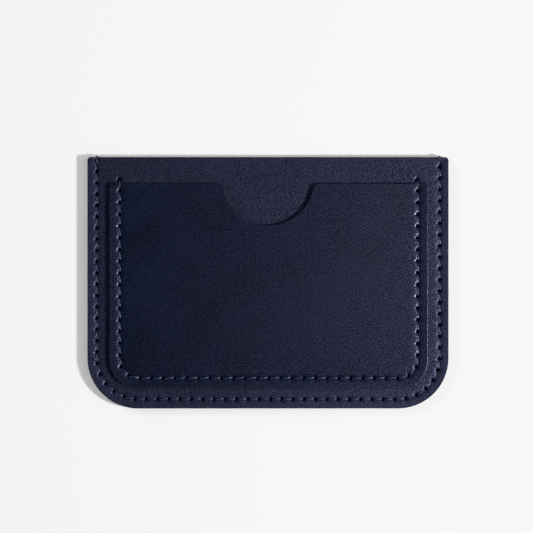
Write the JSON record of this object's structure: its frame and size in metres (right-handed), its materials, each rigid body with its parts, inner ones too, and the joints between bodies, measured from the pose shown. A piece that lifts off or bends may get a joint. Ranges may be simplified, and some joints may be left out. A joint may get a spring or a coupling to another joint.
{
  "type": "card holder",
  "caption": "Flat dark navy leather card holder: stitched panels that hold cards between them, and a front pocket with a round thumb notch.",
  "frame": {"origin": "middle of the back face, on the surface that the holder rests on, in the middle of its overall width and depth", "axes": "+X across the holder to the right as its front is seen, +Y out of the mouths of the two pockets, +Z out of the front face"},
  "size_m": [0.107, 0.075, 0.0041],
  "materials": {
    "body_leather": "vegetable-tanned, dyed dark navy, matt waxed grain",
    "pocket_leather": "vegetable-tanned, dyed dark navy, matt waxed grain",
    "welt_leather": "dyed leather strip with a burnished edge",
    "waxed_thread": "waxed twisted thread, satin",
    "contact_cement": "thin dried film"
  },
  "bodies": {
    "root": {"back_panel": "body_leather", "front_panel": "body_leather", "body_welt": "welt_leather", "front_pocket": "pocket_leather", "body_seam_thread": "waxed_thread", "pocket_seam_thread": "waxed_thread", "body_cement_rear": "contact_cement", "body_cement_front": "contact_cement", "pocket_cement": "contact_cement"}
  },
  "joints": []
}
